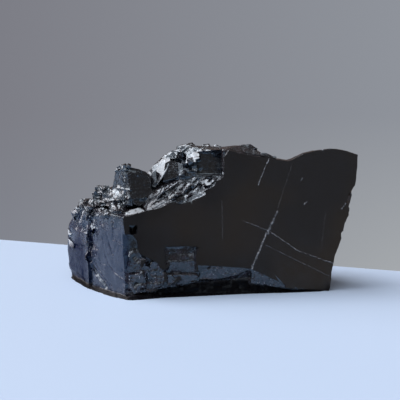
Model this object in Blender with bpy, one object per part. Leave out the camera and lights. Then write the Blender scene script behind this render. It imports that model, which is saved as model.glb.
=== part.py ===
"""A raw piece of noble shungite: one broken lump of glassy black carbon rock.

Its front is a flat, mirror-like parting face that leans back a little. All the rest
is broken: wedges, shell-shaped scars, a chipped notch and rubble along the top.
"""

import math
import random

import bmesh
import bpy
from mathutils import Euler, Matrix, Vector

MM = 0.001

# Driving sizes, in millimetres and degrees. X runs along the parting face, Y into the
# stone and Z up from the surface that it stands on.
FACE_LEAN = 8.0  # the parting face leans back from upright
FACE_OVERSHOOT = 5.0  # the slab starts this far in front of the face, which trims it
SLAB_BACK = 27.0  # the right-hand slab's depth
SLAB_SHOULDER = 7.0  # from this depth the slab narrows towards its back
SLAB_TAPER = (0.12, 0.34)  # how much of its width and height it loses
SLAB_CORE = (20.0, 0.0)  # x and z that the slab narrows to
SCAR_DETAIL = 4  # subdivisions of a scar's ball
SHARD_TILT = 38.0  # most that a shard tips out of the surface it sits on
SHARD_SINK = 0.22  # how far a shard's middle is under that surface, in its own lengths

# The parting face's edge, clockwise from its upper left corner, as (x, z).
FACE_EDGE = [
    (-24.3, 22.3), (-17.9, 24.1), (-12.5, 24.6), (-7.2, 25.6), (-1.5, 27.9), (1.7, 31.7),
    (3.4, 32.5), (3.7, 36.9), (5.6, 39.8), (10.5, 38.8), (18.2, 37.7), (22.5, 36.8),
    (25.2, 37.9), (27.4, 38.9), (29.9, 39.4), (34.9, 39.7), (39.3, 38.9), (43.1, 38.2),
    (42.9, 36.1), (42.4, 31.0), (41.5, 28.6), (41.7, 27.0), (41.1, 24.3), (39.9, 21.8),
    (38.8, 19.0), (36.8, 13.1), (35.6, 9.8), (35.0, 6.7), (33.7, 0.0), (25.9, 0.9),
    (20.5, 1.5), (16.8, 1.8), (12.8, 2.6), (11.2, 3.8), (10.8, 7.0), (4.8, 7.4),
    (-0.5, 7.6), (-2.9, 6.0), (-8.0, 4.6), (-14.0, 3.0), (-24.0, 2.0),
]

# The blocks that the lump is made of, each the hull of its corners.
BLOCKS = {
    "end_block": [
        (-21.4, -2.8, 0), (-21.0, -2.8, 22.3), (-24.3, 3.1, 22.3), (-32.4, 16.4, 0), (-32.0, 16.3, 22.4),
        (-15.0, -2.6, 0), (-14.0, -2.0, 22.0), (-17.9, 3.2, 23.9), (-4, 3.5, 24), (-4, 12, 0),
        (-4, 30, 0), (-4, 30, 25), (-30, 26, 0), (-30, 24, 24),
    ],
    "far_block": [
        (-33.2, 18.6, 0), (-33.3, 18.6, 12.6), (-32.6, 19.6, 20.2), (-37.2, 32.0, 0), (-37.9, 32.6, 3.0),
        (-38.2, 33.4, 8.0), (-38.1, 33.5, 12.0), (-37.8, 33.3, 15.8), (-36.9, 31.5, 18.2), (-35.6, 36.5, 0),
        (-33.0, 40.0, 6), (-34.0, 38.5, 16),
        (-33.8, 25.5, 23.2), (-30.0, 33, 23.0), (-14, 36, 1), (-12, 34, 20), (-14, 20, 23), (-14, 20, 0),
    ],
    "shoulder": [
        (-32.3, 20.0, 23.0), (-31.3, 20.6, 25.6), (-30.1, 20.0, 27.9), (-28.4, 18.4, 28.6),
        (-27.0, 15.0, 28.8), (-27.0, 11.8, 24.2), (-22.2, 8.6, 24.4), (-29.5, 28.0, 24.0),
        (-22.0, 23.0, 29.0), (-10, 9, 25), (-8, 30, 28), (-20, 33, 20),
    ],
    "core": [
        (-13, 1.2, 0), (10, 0.9, 0), (22, 0.8, 0), (32.0, 0.8, 0), (34.8, 2.4, 0), (36.5, 13, 0),
        (34, 22, 0),
        (25, 30, 0), (4, 35.5, 0), (-18, 37.5, 0), (-29, 35.0, 0), (-12, 2.0, 7), (-3.1, 1.0, 4.7),
        (5, 0.9, 5.0), (11, 0.9, 6.5), (-3, 1.3, 9), (11, 1.3, 9), (30, 3, 7),
        (39, 12, 15), (36, 23, 14), (24, 32, 14), (4, 37, 13), (-18, 38, 14), (-30, 34, 21), (-14, 33, 27),
        (2, 30, 32), (14, 26, 33), (26, 19, 31), (35, 13, 27),
    ],
    "slope_left": [
        (-18.0, 3.3, 24.0), (-12.5, 3.3, 24.6), (-7.2, 3.4, 25.6), (-15.4, 11.5, 29.4), (-14.0, 12.6, 30.6),
        (-7.6, 10.4, 31.6), (-20, 20, 27), (-4, 20, 28), (-14, 28, 24), (-6, 5, 20), (-16, 5, 20),
    ],
    "slope_middle": [
        (-7.4, 3.4, 25.5), (-1.5, 3.9, 27.9), (-7.8, 10.4, 31.6), (-2.6, 9.4, 32.2), (-8, 20, 30),
        (2, 20, 30), (-2, 6, 20), (-8, 6, 20),
    ],
    "slope_right": [
        (-1.7, 3.8, 27.7), (1.7, 4.4, 31.7), (3.5, 4.6, 32.5), (-2.8, 9.5, 32.2), (3.6, 9.5, 33.2),
        (6, 6, 30), (-4, 20, 30), (6, 20, 30), (2, 5, 22), (-3, 6, 22),
    ],
    "ridge": [
        (-14.4, 12.8, 29.8), (-11.0, 15.4, 37.6), (-9.6, 15.6, 39.2), (-6.5, 14.8, 40.3),
        (-2.6, 10.2, 31.6), (-1.8, 12.6, 40.4), (3.6, 6.0, 31.0), (3.8, 6.6, 39.8), (9.5, 9.6, 40.8),
        (14.0, 11.0, 39.6),
        (19.0, 8.0, 37.8), (-14.6, 17.0, 34.4), (-12.9, 17.5, 36.2), (-18.5, 22, 26), (-14, 31, 26),
        (2, 29, 32), (-4.0, 21.0, 39.6), (14, 25, 33), (24, 18, 32), (28, 20, 20), (2, 32, 20),
        (-14, 32, 18),
    ],
    "fang": [
        (-22.4, 9.9, 35.8), (-21.2, 9.9, 35.5), (-18.8, 10.0, 34.8), (-16.0, 10.1, 33.6),
        (-15.9, 9.3, 30.3),
        (-15.6, 8.7, 27.6), (-17.5, 8.2, 26.0), (-19.3, 7.7, 24.7), (-22.0, 7.6, 25.7), (-22.3, 8.4, 29.2),
        (-25.3, 12.4, 35.2), (-24.2, 11.8, 36.0), (-25.8, 14.0, 32.0), (-26.8, 15.0, 26.0),
        (-17.5, 19, 30), (-23.5, 19, 29),
    ],
    "top_lump": [
        (9.0, 8.5, 38.0), (9.6, 10.0, 40.9), (12.6, 9.8, 41.2), (14.6, 9.6, 40.0), (15.0, 13.0, 38.0),
        (9.0, 14.0, 38.0), (10.5, 13.5, 40.6),
    ],
    "small_lump": [
        (14.6, 8.0, 37.4), (15.4, 8.2, 39.0), (17.0, 8.0, 38.8), (19.8, 7.6, 37.6), (15.0, 11.5, 38.4),
        (19.0, 11.5, 36.8), (18.8, 7.0, 37.0),
    ],
}

# Flat breaks, which take away all that lies beyond them: a point on each and its outward side.
LEAN = math.radians(FACE_LEAN)
BREAKS = {
    "parting_face": ((0, 0, 0), (0, -math.cos(LEAN), math.sin(LEAN))),
    "resting_flat": ((0, 0, 0), (0, 0, -1)),
    "back_right": ((35, 20, 12), (0.80, 0.58, 0.06)),
    "back_left": ((-26, 38.6, 14), (-0.34, 0.90, 0.26)),
}

# Shell-shaped scars, each the bite of a stretched ball: centre, radii and turn (degrees).
SCARS = {
    "gully": ((-14.4, 8.0, 37.6), (3.9, 12.0, 5.6), (24, 0, 10)),
    "left_groove": ((-37.5, 14.4, 12), (4.6, 3.2, 26), (0, 0, 28)),
    "back_bowl_right": ((34, 66, 36), (43, 43, 40), (0, 0, 0)),
    "back_bowl_left": ((-16, 73, 40), (44, 43, 44), (0, 0, 0)),
    "left_back_bowl": ((-63, 60, 24), (37, 37, 34), (0, 0, 0)),
    "right_bowl": ((74, 36, 26), (36, 36, 36), (0, 0, 0)),
    "back_crown": ((16, 40, 62), (30, 24, 27), (0, 0, 10)),
    "back_foot": ((-4, 62, -22), (40, 36, 36), (0, 0, 0)),
}

# Hollows, each the hull of its corners.
HOLLOWS = {
    "hollow": [
        (3.6, -1, 32.6), (3.7, 0, 37.0), (5.2, -1, 44), (-3.4, 0, 32), (-4.4, 3, 42), (3.9, 9.6, 33.0),
        (3.9, 10.9, 39.0), (-2.8, 9.6, 33.0), (-3.0, 10.7, 39.0),
    ],
    "corner_left": [
        (-26, -4, 18.9), (-21.1, -4, 18.6), (-20.0, -4, 17.2), (-19.8, -4, 13.6), (-19.8, -4, -1),
        (-26, -4, -1), (-24.8, 3.4, 17.8), (-22.0, 3.6, 17.4), (-20.8, 3.2, 15.6), (-20.4, 2.8, 11),
        (-24.3, 2.8, 8), (-20.6, 1.9, -1), (-24.0, 2.2, -1),
    ],
    "corner_middle": [
        (-21.0, -4, 14.0), (-19.6, -4, 13.6), (-17.4, -4, 11.5), (-13.4, -4, 9.8), (-13.2, -4, -1),
        (-21.0, -4, -1), (-20.6, 2.4, 12.6), (-17.6, 2.8, 9.6), (-13.6, 2.8, 7.8), (-13.4, 2.2, -1),
        (-20.6, 2.0, -1),
    ],
    "corner_right": [
        (-13.8, -4, 9.8), (-8.0, -4, 8.9), (-3.4, -4, 8.4), (-3.4, -4, 0), (-13.8, -4, -1),
        (-13.6, 2.6, 7.8), (-8.0, 2.2, 6.6), (-3.4, 2.4, 6.4), (-3.4, 2.4, 1), (-13.6, 2.6, -1),
    ],
    "undercut_left": [
        (-19.5, -4, 1.4), (-3.2, -4, 4.7), (-19.5, -4, -1), (-3.2, -4, -1), (-19.5, 1.4, 1.4),
        (-3.2, 1.3, 4.7), (-13.0, 3.0, 1.6), (-3.2, 3.0, 3.4), (-19.0, 1.8, -0.2), (-3.2, 1.5, -0.2),
    ],
    "undercut_middle": [
        (-3.6, -4, 4.6), (5.2, -4, 5.1), (-3.6, -4, -1), (5.2, -4, -1), (-3.6, 1.3, 4.6), (5.2, 1.2, 5.1),
        (-3.6, 3.0, 3.4), (5.2, 2.9, 3.8), (-3.6, 1.5, -0.2), (5.2, 1.3, -0.2),
    ],
    "undercut_right": [
        (4.8, -4, 5.1), (11.3, -4, 6.8), (4.8, -4, -1), (11.3, -4, -1), (4.8, 1.2, 5.1), (11.3, 1.2, 6.8),
        (4.8, 2.9, 3.8), (11.3, 2.9, 4.4), (4.8, 1.3, -0.2), (11.3, 1.2, -0.2),
    ],
    "undercut_foot": [
        (10.9, -4, 3.3), (23.0, -4, 1.0), (23.0, -4, -1), (10.9, -4, -1), (10.9, 2.6, 2.9), (14.0, 2.4, 2.3),
        (23.0, 1.6, 0.6), (10.9, 1.3, -0.2), (23.0, 1.0, -0.2),
    ],
    "notch_top": [
        (-13.6, -1, 14.8), (-4.3, -1, 14.3), (-4.0, -1, 9.4), (-13.7, -1, 9.4), (-12.9, 3.9, 13.6),
        (-4.9, 3.9, 13.5), (-12.9, 2.9, 9.6), (-4.6, 2.9, 9.6),
    ],
    "notch_foot": [
        (-13.6, -1, 11.4), (-4.0, -1, 10.6), (-3.9, -1, 5.6), (-13.2, -1, 4.4), (-12.9, 2.3, 11.0),
        (-4.7, 2.4, 10.2), (-12.6, 2.8, 4.8), (-4.8, 2.5, 5.4),
    ],
    "pit": [
        (-23.2, -1, 20.9), (-20.2, -1, 20.8), (-20.2, -1, 17.4), (-23.4, -1, 17.0), (-22.6, 6.4, 19.8),
        (-20.8, 6.2, 19.6), (-21.6, 6.0, 17.8),
    ],
    "chamfer": [
        (-4.0, -4, 9.0), (11.2, -4, 7.2), (11.2, 1.5, 4.2), (11.2, -4, 2), (-4.0, -4, 2), (-4.0, 2.0, 4.6),
        (-4, 1.2, 8.7), (11.2, 1.0, 7.2),
    ],
    "right_chamfer": [
        (10.6, -4, 7.4), (13.0, -4, 6.6), (14.6, -4, 5.4), (16.8, -4, 4.0), (21.5, -4, 2.6), (21.5, -4, -1),
        (10.6, -4, -1), (10.8, 1.3, 7.0), (13.0, 1.2, 6.2), (14.6, 1.0, 5.2), (16.8, 0.8, 3.8),
        (10.8, 1.5, 3.6), (21.0, 0.6, 2.2), (21.0, 0.8, -1), (10.8, 1.0, -1),
    ],
    "edge_chip": [
        (41.6, 2.0, 29.6), (39.4, 2.4, 27.4), (38.7, 2.4, 25.0), (39.2, 2.2, 22.4), (42.5, 2.0, 22.0),
        (43.5, 2.0, 29.0), (42.6, 6.6, 28.4), (40.6, 5.0, 26.4), (40.4, 4.8, 24.4), (42.4, 6.4, 23.2),
    ],
    "crest_gap": [
        (9.5, 5.9, 42), (9.5, 8.2, 42), (18.5, 5.8, 42), (18.5, 7.8, 42), (10.6, 6.3, 37.4),
        (10.6, 7.8, 37.4), (17.4, 6.1, 36.6), (17.4, 7.4, 36.6),
    ],
}

# Facets that stand out of the broken ground: each outline's corners, and the way that it is set in.
INTO_WALL = (1.5, 5.0, -2.5)
INTO_FANG = (4.0, 4.0, -1.0)
INTO_FOOT = (0.5, 4.5, 0.5)
FACETS = {
    "glint_upper": dict(
        inward=INTO_WALL,
        corners=[
            (-38.1, 33.0, 14.4), (-37.6, 31.7, 13.9), (-37.0, 30.2, 13.1), (-37.5, 30.4, 12.7), (-38.1, 31.2, 12.8),
        ],
    ),
    "glint_lower": dict(
        inward=INTO_WALL,
        corners=[
            (-38.1, 32.2, 11.9), (-37.4, 30.6, 11.3), (-36.5, 28.0, 10.1), (-36.9, 27.7, 9.5),
            (-37.8, 29.1, 9.7), (-38.1, 30.8, 10.7),
        ],
    ),
    "flank_top": dict(
        inward=INTO_FANG,
        corners=[
            (-24.7, 14.0, 31.9), (-21.8, 11.2, 32.8), (-22.1, 7.8, 29.3), (-25.5, 12.0, 29.4),
        ],
    ),
    "flank_low": dict(
        inward=INTO_FANG,
        corners=[
            (-27.0, 14.1, 28.2), (-25.1, 13.1, 29.5), (-23.4, 10.6, 29.2), (-23.7, 8.2, 26.5),
            (-27.8, 12.2, 25.7),
        ],
    ),
    "flank_foot": dict(
        inward=INTO_FANG,
        corners=[
            (-23.8, 12.1, 29.3), (-21.7, 10.4, 30.1), (-22.0, 7.2, 26.9), (-24.4, 9.4, 26.3),
        ],
    ),
    "ledge_top": dict(
        inward=INTO_FANG,
        corners=[
            (-29.8, 19.5, 28.7), (-28.3, 17.2, 28.4), (-28.7, 16.5, 27.3), (-30.5, 18.7, 27.2),
        ],
    ),
    "ledge_middle": dict(
        inward=INTO_FANG,
        corners=[
            (-30.8, 20.0, 26.9), (-28.7, 17.3, 26.9), (-28.6, 16.0, 26.0), (-31.2, 18.9, 25.6),
        ],
    ),
    "ledge_foot": dict(
        inward=INTO_FANG,
        corners=[
            (-31.4, 18.5, 25.5), (-28.2, 14.6, 25.7), (-28.5, 14.1, 25.0), (-31.3, 17.4, 24.7),
        ],
    ),
    "leaf": dict(
        inward=INTO_WALL,
        corners=[
            (-24.0, 6.0, 23.4), (-22.3, 6.0, 24.1), (-19.6, 5.3, 24.8), (-17.9, 3.2, 24.1),
            (-20.6, 3.7, 23.3), (-23.3, 4.4, 22.6),
        ],
    ),
    "blade": dict(
        inward=INTO_WALL,
        corners=[
            (-14.0, 13.5, 34.0), (-12.9, 14.7, 36.3), (-12.0, 14.7, 37.4), (-10.2, 12.7, 37.7),
            (-10.1, 11.8, 37.0), (-11.0, 10.6, 34.9), (-12.4, 10.0, 32.7), (-14.2, 9.6, 30.3),
            (-14.4, 11.2, 31.5),
        ],
    ),
    "blade_foot": dict(
        inward=INTO_WALL,
        corners=[
            (-14.2, 11.7, 34.3), (-14.2, 9.8, 30.5), (-14.7, 9.7, 29.7), (-15.9, 10.5, 29.9),
            (-15.7, 12.0, 33.1),
        ],
    ),
    "dark_wall": dict(
        inward=INTO_WALL,
        corners=[
            (-11.6, 11.3, 36.2), (-9.9, 11.6, 37.0), (-7.3, 11.5, 36.1), (-7.5, 10.5, 32.3),
            (-9.8, 10.2, 31.5), (-12.4, 10.0, 31.0),
        ],
    ),
    "grey_wall": dict(
        inward=INTO_WALL,
        corners=[
            (-7.9, 11.4, 36.1), (-6.3, 11.0, 35.9), (-5.7, 9.5, 33.8), (-6.6, 8.9, 32.7), (-8.0, 9.2, 33.0),
        ],
    ),
    "upper_shard": dict(
        inward=INTO_WALL,
        corners=[
            (-5.2, 12.5, 39.3), (-2.0, 11.7, 40.3), (-2.3, 8.4, 37.8), (-3.8, 8.9, 37.4),
            (-6.1, 9.1, 36.3),
        ],
    ),
    "lower_shard": dict(
        inward=INTO_WALL,
        corners=[
            (-6.2, 12.6, 35.9), (-3.6, 11.2, 36.2), (-2.3, 9.2, 35.4), (-3.0, 8.0, 34.2), (-5.6, 9.6, 33.8),
        ],
    ),
    "bright_shard": dict(
        inward=INTO_WALL,
        corners=[
            (-2.4, 6.6, 31.5), (-1.0, 6.8, 32.0), (0.8, 5.8, 31.8), (0.3, 4.3, 30.7), (-1.9, 4.7, 30.4),
        ],
    ),
    "rim_shard": dict(
        inward=INTO_WALL,
        corners=[
            (-1.7, 4.3, 29.3), (0.8, 5.5, 31.0), (2.5, 5.5, 31.6), (2.0, 4.4, 30.6), (0.4, 3.4, 29.1),
            (-1.4, 3.2, 28.4),
        ],
    ),
    "crest_left": dict(
        inward=INTO_WALL,
        corners=[
            (-1.6, 11.2, 39.2), (-0.7, 13.1, 41.0), (1.3, 13.1, 41.3), (1.9, 11.6, 40.2), (0.3, 10.6, 38.9),
        ],
    ),
    "crest_right": dict(
        inward=INTO_WALL,
        corners=[
            (1.5, 10.9, 39.4), (2.6, 12.1, 41.1), (4.4, 10.9, 40.9), (4.3, 9.2, 39.3), (2.6, 9.0, 38.5),
        ],
    ),
    "corner_lump": dict(
        inward=INTO_FOOT,
        corners=[
            (-23.6, 2.2, 8.0), (-22.6, 2.3, 13.4), (-20.4, 2.1, 12.7), (-18.6, 1.7, 10.2),
            (-18.4, 1.8, 7.4), (-23.4, 2.1, 6.8),
        ],
    ),
    "corner_foot": dict(
        inward=INTO_FOOT,
        corners=[
            (-23.5, 1.7, 6.6), (-21.0, 1.0, 6.9), (-18.3, 1.1, 7.0), (-18.0, 1.0, 4.0), (-18.4, 1.2, 1.4),
            (-22.0, 1.1, 1.0), (-23.3, 1.7, 2.2),
        ],
    ),
    "foot_lump": dict(
        inward=INTO_FOOT,
        corners=[
            (-17.4, 1.6, 9.8), (-15.9, 1.5, 10.1), (-13.7, 1.4, 8.6), (-13.3, 1.3, 3.8), (-14.6, 1.5, 2.2),
            (-16.8, 1.4, 2.5), (-17.5, 1.3, 6.3),
        ],
    ),
    "lip_lump": dict(
        inward=INTO_FOOT,
        corners=[
            (-12.6, 1.1, 6.2), (-9.0, 1.0, 6.0), (-4.2, 1.0, 6.0), (-3.6, 1.1, 5.2), (-7.3, 1.3, 3.7),
            (-12.3, 1.4, 3.0),
        ],
    ),
}

# The foot spreads a little at the table, all along the front and the left: low toes.
TOES = {
    "toe_far": [
        (-37.0, 32.5, 0.0), (-37.6, 30.0, 0.0), (-36.6, 24.4, 0.0), (-34.6, 17.0, 0.0), (-33.6, 14.6, 0.0),
        (-36.8, 31.0, 0.5), (-33.0, 18.8, 0.5), (-30.0, 18.0, 0.5), (-33.0, 31.0, 0.0), (-30.0, 20.0, 0.0),
    ],
    "toe_end": [
        (-34.0, 16.4, 0.0), (-31.9, 11.2, 0.0), (-29.9, 7.4, 0.0), (-27.9, 4.0, 0.0), (-25.8, 1.2, 0.0),
        (-24.0, -0.8, 0.0), (-32.2, 16.6, 0.5), (-23.6, 1.2, 0.6), (-20.0, 3.0, 0.6), (-29.0, 16.0, 0.0),
        (-19.0, 4.0, 0.0),
    ],
    "toe_corner": [
        (-25.0, 0.3, 0.0), (-24.0, -0.8, 0.0), (-22.6, -1.3, 0.0), (-19.4, -0.9, 0.0), (-16.3, -0.3, 0.0),
        (-13.4, 0.1, 0.0), (-23.4, 1.2, 0.9), (-19.2, 1.2, 1.0), (-14.0, 1.6, 0.8), (-19.0, 4.0, 0.0),
        (-12.0, 3.0, 0.0),
    ],
    "toe_front": [
        (-14.6, 0.0, 0.0), (-10.6, 0.3, 0.0), (-3.5, 0.5, 0.0), (3.7, 0.7, 0.0), (10.8, 0.5, 0.0),
        (-13.4, 1.6, 0.6), (10.8, 1.5, 0.4), (-12.0, 3.0, 0.0), (10.8, 3.0, 0.0),
    ],
    "toe_right": [
        (10.0, 0.6, 0.0), (17.8, 0.0, 0.0), (25.0, -0.3, 0.0), (31.0, -0.3, 0.0), (34.0, 1.0, 0.0),
        (10.8, 1.5, 0.4), (33.0, 1.2, 0.4), (10.8, 3.0, 0.0), (33.0, 3.0, 0.0),
    ],
}

# Rubble along a path: shards of a size range, in proportions of length, width and height.
# Steps are the same, taken away. A grain is the direction that they lie along.
STREAKS = (15, 7, 8.5)
RUBBLE = {
    "slope_steps": dict(
        path=[(-15, 6, 26.5), (-10, 7, 29), (-4, 7, 30.5), (1, 6, 31.5)], grain=STREAKS,
        spread=3.0, count=18, size=(5.0, 9.0), shape=(1.0, 0.20, 0.14), seed=12, operation="DIFFERENCE",
    ),
    "slope_streaks": dict(
        path=[(-14, 5, 25.5), (-9, 6, 28), (-4, 6, 29.5), (1, 6, 31.5)], grain=STREAKS,
        spread=3.0, count=24, size=(3.0, 7.0), shape=(1.0, 0.16, 0.12), seed=6, operation="UNION",
    ),
    "ridge_steps": dict(
        path=[(-11, 14, 34), (-7, 14, 38), (-5, 12, 34), (0, 10, 40)],
        spread=2.6, count=10, size=(3.0, 6.0), shape=(1.0, 0.7, 0.4), seed=14, operation="DIFFERENCE",
    ),
    "ridge_wall": dict(
        path=[(-11, 14, 34), (-8, 14, 38), (-5, 13, 36), (-5, 12, 33), (2, 9, 40), (-9, 15, 39.5)],
        spread=1.8, count=14, size=(1.8, 4.2), shape=(1.0, 0.7, 0.45), seed=5, operation="UNION",
    ),
    "crumble": dict(
        path=[(-36.5, 30, 19), (-34, 25, 23), (-31, 18, 23.5), (-28, 11, 24), (-24.5, 7, 23.8)],
        spread=2.0, count=30, size=(2.2, 4.6), shape=(1.0, 0.8, 0.6), seed=3, operation="UNION",
    ),
    "groove_fill": dict(
        path=[(-33.5, 17, 21), (-33.5, 17, 12), (-33.0, 17, 1)],
        spread=1.4, count=12, size=(1.6, 3.2), shape=(1.0, 0.6, 0.2), seed=9, operation="UNION",
    ),
    "shoulder_steps": dict(
        path=[(-32, 21, 25), (-30, 19, 28), (-27, 15, 29)],
        spread=1.6, count=12, size=(1.6, 3.2), shape=(1.0, 0.8, 0.5), seed=8, operation="UNION",
    ),
    "fang_tip": dict(
        path=[(-25.4, 12, 34.5), (-22.8, 9.6, 35.4)],
        spread=0.9, count=6, size=(1.2, 2.2), shape=(1.0, 0.8, 0.7), seed=4, operation="UNION",
    ),
    "back_crest": dict(
        path=[(-34, 40, 28), (-22, 40, 38), (-6, 34, 48), (6, 26, 50), (20, 20, 50), (32, 26, 40)],
        spread=4.0, count=16, size=(5.0, 10.0), shape=(1.0, 0.6, 0.3), seed=17, operation="DIFFERENCE",
    ),
    "foot_edge": dict(
        path=[(-44, 44, -6), (-10, 48, -6), (14, 46, -6), (34, 36, -6), (50, 16, -6)],
        spread=6.0, count=14, size=(4.0, 9.0), shape=(1.0, 0.6, 0.4), seed=18, operation="DIFFERENCE",
    ),
}
CORNER_RUBBLE = {
    "corner_crumbs": dict(
        path=[(-21.5, 2.0, 13), (-19.5, 1.5, 8), (-14, 1.5, 7), (-13, 0.8, 4.2), (-8, 1.6, 5)],
        spread=1.8, count=16, size=(1.6, 3.6), shape=(1.0, 0.8, 0.3), seed=11, operation="UNION",
    ),
}


def clear_scene():
    for old in list(bpy.data.objects):
        bpy.data.objects.remove(old)


def collection(name):
    made = bpy.data.collections.new(name)
    bpy.context.scene.collection.children.link(made)
    return made


def place(shape, name, group):
    """A new object from a bmesh in millimetres."""
    bmesh.ops.scale(shape, vec=(MM, MM, MM), verts=shape.verts)
    bmesh.ops.recalc_face_normals(shape, faces=shape.faces)
    mesh = bpy.data.meshes.new(name)
    shape.to_mesh(mesh)
    shape.free()
    made = bpy.data.objects.new(name, mesh)
    made.hide_render = True
    made.display_type = "WIRE"
    group.objects.link(made)
    return made


def hull(name, corners, group):
    """A convex block."""
    shape = bmesh.new()
    for corner in corners:
        shape.verts.new(corner)
    bmesh.ops.convex_hull(shape, input=shape.verts)
    bmesh.ops.delete(shape, geom=[v for v in shape.verts if not v.link_faces], context="VERTS")
    return place(shape, name, group)


def slab(name, outline, front, back, group):
    """The outline as a flat curve, pushed back through the stone and narrowed past its shoulder."""
    curve = bpy.data.curves.new(name, "CURVE")
    curve.dimensions = "2D"
    curve.fill_mode = "BOTH"
    curve.extrude = (back - front) / 2
    edge = curve.splines.new("POLY")
    edge.points.add(len(outline) - 1)
    for point, (x, z) in zip(edge.points, outline):
        point.co = (x, z, 0, 1)
    edge.use_cyclic_u = True
    guide = bpy.data.objects.new(name, curve)
    group.objects.link(guide)
    bpy.context.view_layer.update()
    graph = bpy.context.evaluated_depsgraph_get()
    mesh = bpy.data.meshes.new_from_object(guide.evaluated_get(graph))
    bpy.data.objects.remove(guide)
    shape = bmesh.new()
    shape.from_mesh(mesh)
    bpy.data.meshes.remove(mesh)
    upright = Matrix.Translation((0, (front + back) / 2, 0)) @ Matrix.Rotation(math.radians(90), 4, "X")
    bmesh.ops.transform(shape, matrix=upright, verts=shape.verts)
    bmesh.ops.remove_doubles(shape, verts=shape.verts, dist=0.001)
    everything = list(shape.verts) + list(shape.edges) + list(shape.faces)
    shoulder = Vector((0, SLAB_SHOULDER, 0))
    bmesh.ops.bisect_plane(shape, geom=everything, plane_co=shoulder, plane_no=(0, 1, 0))
    for corner in shape.verts:
        if corner.co.y > SLAB_SHOULDER + 1:
            corner.co.x += SLAB_TAPER[0] * (SLAB_CORE[0] - corner.co.x)
            corner.co.z += SLAB_TAPER[1] * (SLAB_CORE[1] - corner.co.z)
    bmesh.ops.triangulate(shape, faces=shape.faces)
    return place(shape, name, group)


def facet(name, corners, inward, group):
    """A facet with its root: the corners, and the same corners moved inward."""
    root = [Vector(corner) + Vector(inward) for corner in corners]
    return hull(name, corners + [tuple(corner) for corner in root], group)


def half_space(name, point, outward, group, size=200):
    """A big box whose near side lies on the plane."""
    shape = bmesh.new()
    bmesh.ops.create_cube(shape, size=size)
    outward = Vector(outward).normalized()
    turn = outward.to_track_quat("Z", "Y").to_matrix().to_4x4()
    where = Matrix.Translation(Vector(point) + outward * size / 2)
    bmesh.ops.transform(shape, matrix=where @ turn, verts=shape.verts)
    return place(shape, name, group)


def scar(name, centre, radii, turn, group):
    """A stretched ball."""
    shape = bmesh.new()
    bmesh.ops.create_icosphere(shape, subdivisions=SCAR_DETAIL, radius=1)
    turned = Euler([math.radians(angle) for angle in turn]).to_matrix().to_4x4()
    matrix = Matrix.Translation(centre) @ turned @ Matrix.Diagonal((*radii, 1))
    bmesh.ops.transform(shape, matrix=matrix, verts=shape.verts)
    return place(shape, name, group)


def along(path, share):
    """The point at this share of the path's spans."""
    place_on = share * (len(path) - 1)
    span = min(int(place_on), len(path) - 2)
    return Vector(path[span]).lerp(Vector(path[span + 1]), place_on - span)


def shards(stone, name, zone, group):
    """Broken pieces seated on the stone's surface along the zone's path."""
    dice = random.Random(zone["seed"])
    made = []
    for number in range(zone["count"]):
        scatter = Vector([dice.gauss(0, zone["spread"] / 2) for _ in range(3)])
        aim = (along(zone["path"], dice.random()) + scatter) * MM
        found, seat, outward, _ = stone.closest_point_on_mesh(aim)
        length = dice.uniform(*zone["size"])
        half = Vector(zone["shape"]) * length / 2
        corners = []
        for side in range(8):
            sign = [1 if side >> bit & 1 else -1 for bit in range(3)]
            corners.append([s * h * dice.uniform(0.45, 1.15) for s, h in zip(sign, half)])
        grain = Vector(zone.get("grain") or [dice.gauss(0, 1) for _ in range(3)])
        across = outward.cross(grain).normalized()
        lie = Matrix((across.cross(outward), across, outward)).transposed().to_quaternion()
        tip = [math.radians(dice.uniform(-SHARD_TILT, SHARD_TILT)) for _ in range(2)]
        lie = lie @ Euler((*tip, 0)).to_quaternion()
        middle = seat / MM - outward * SHARD_SINK * length * zone["shape"][2]
        made.append(hull(f"{name}_{number}", [middle + lie @ Vector(c) for c in corners], group))
    return made


def chisel(stone, tools, operation):
    """Joins or cuts with each tool in turn, and keeps the result as the stone's mesh."""
    for tool in tools:
        step = stone.modifiers.new(tool.name, "BOOLEAN")
        step.object = tool
        step.operation = operation
        step.solver = "MANIFOLD"
        bpy.context.view_layer.update()
        graph = bpy.context.evaluated_depsgraph_get()
        worked = bpy.data.meshes.new_from_object(stone.evaluated_get(graph))
        stone.modifiers.clear()
        rough, stone.data = stone.data, worked
        bpy.data.meshes.remove(rough)


def outer_skin(stone):
    """Keeps the one skin round the whole stone, and drops sealed voids and loose crumbs."""
    shape = bmesh.new()
    shape.from_mesh(stone.data)
    left = set(shape.verts)
    skins = []
    while left:
        skin = set()
        edge = [left.pop()]
        while edge:
            corner = edge.pop()
            skin.add(corner)
            near = {side.other_vert(corner) for side in corner.link_edges} & left
            left -= near
            edge.extend(near)
        skins.append(skin)
    skins.sort(key=len)
    for skin in skins[:-1]:
        bmesh.ops.delete(shape, geom=list(skin), context="VERTS")
    shape.to_mesh(stone.data)
    shape.free()


def rest_on_centre(stone):
    """Puts the stone over the world's origin: the middle of its box, at the height of its foot."""
    corners = stone.data.vertices
    low, high = [Vector(end(v.co[axis] for v in corners) for axis in range(3)) for end in (min, max)]
    stone.data.transform(Matrix.Translation((-(low.x + high.x) / 2, -(low.y + high.y) / 2, -low.z)))


def shungite():
    """Glassy near-black carbon, brighter in its reflections than glass."""
    material = bpy.data.materials.new("shungite")
    material.use_nodes = True
    shader = material.node_tree.nodes["Principled BSDF"]
    shader.inputs["Base Color"].default_value = (0.012, 0.012, 0.013, 1)
    shader.inputs["Roughness"].default_value = 0.15
    shader.inputs["Metallic"].default_value = 0.0
    shader.inputs["IOR"].default_value = 1.9
    material.diffuse_color = (0.03, 0.03, 0.035, 1)
    return material


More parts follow.
